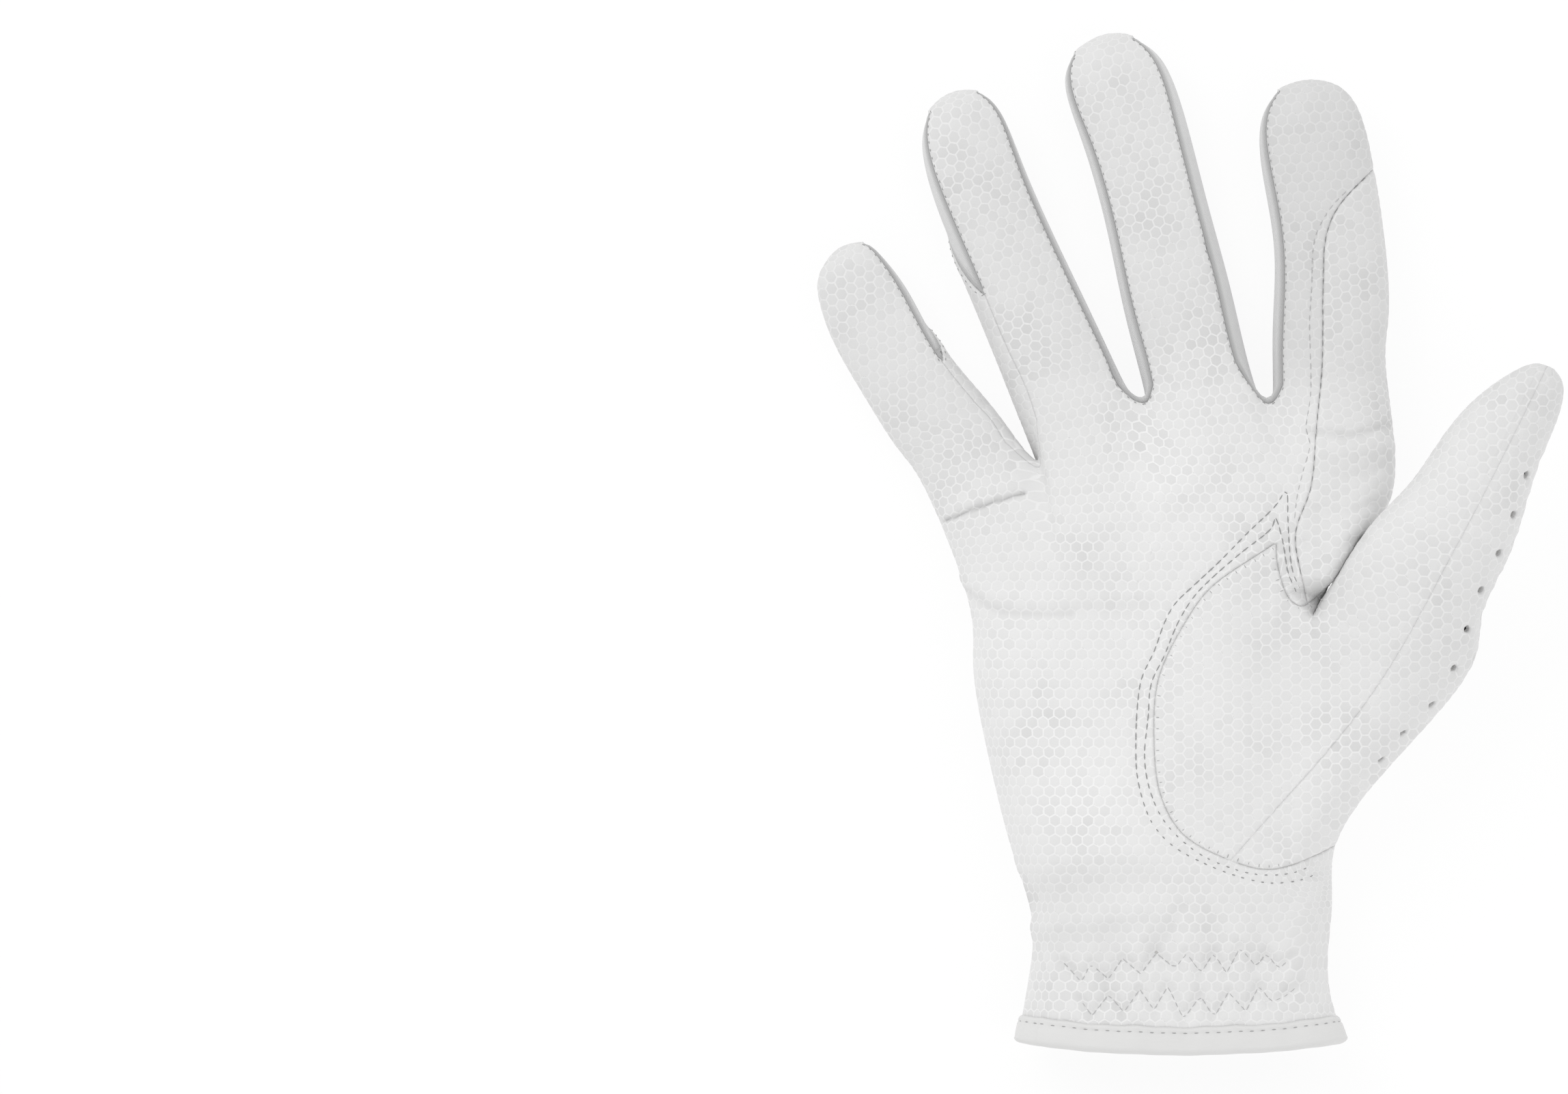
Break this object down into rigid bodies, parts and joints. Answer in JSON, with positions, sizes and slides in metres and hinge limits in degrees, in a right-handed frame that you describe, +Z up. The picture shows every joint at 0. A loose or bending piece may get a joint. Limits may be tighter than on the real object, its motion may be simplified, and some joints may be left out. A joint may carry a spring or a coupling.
{
  "type": "horse riding glove",
  "caption": "Right-hand riding glove in honeycomb-embossed leather, lying palm up, with knit fourchettes, a perforated thumb and a bound, gathered cuff.",
  "frame": {"origin": "on the surface it lies on, under the middle of its bounding box", "axes": "+Z up out of the palm, +Y from the cuff towards the fingertips, +X from the little finger's side towards the thumb's"},
  "size_m": [0.163, 0.2254, 0.0384],
  "materials": {
    "palm_leather": "matt white synthetic leather embossed with small hexagons",
    "vented_leather": "the same white leather with punched air holes",
    "back_leather": "plain matt white synthetic leather",
    "knit": "soft brushed light grey knit",
    "binding_tape": "smooth white folded tape"
  },
  "bodies": {
    "root": {"palm": "palm_leather", "index_panel": "palm_leather", "thumb_front": "palm_leather", "thumb_back": "vented_leather", "hand_back": "back_leather", "gusset": "palm_leather", "fourchette_little": "knit", "fourchette_ring": "knit", "fourchette_ring_middle": "knit", "fourchette_middle_index": "knit", "cuff_binding": "binding_tape"}
  },
  "joints": []
}
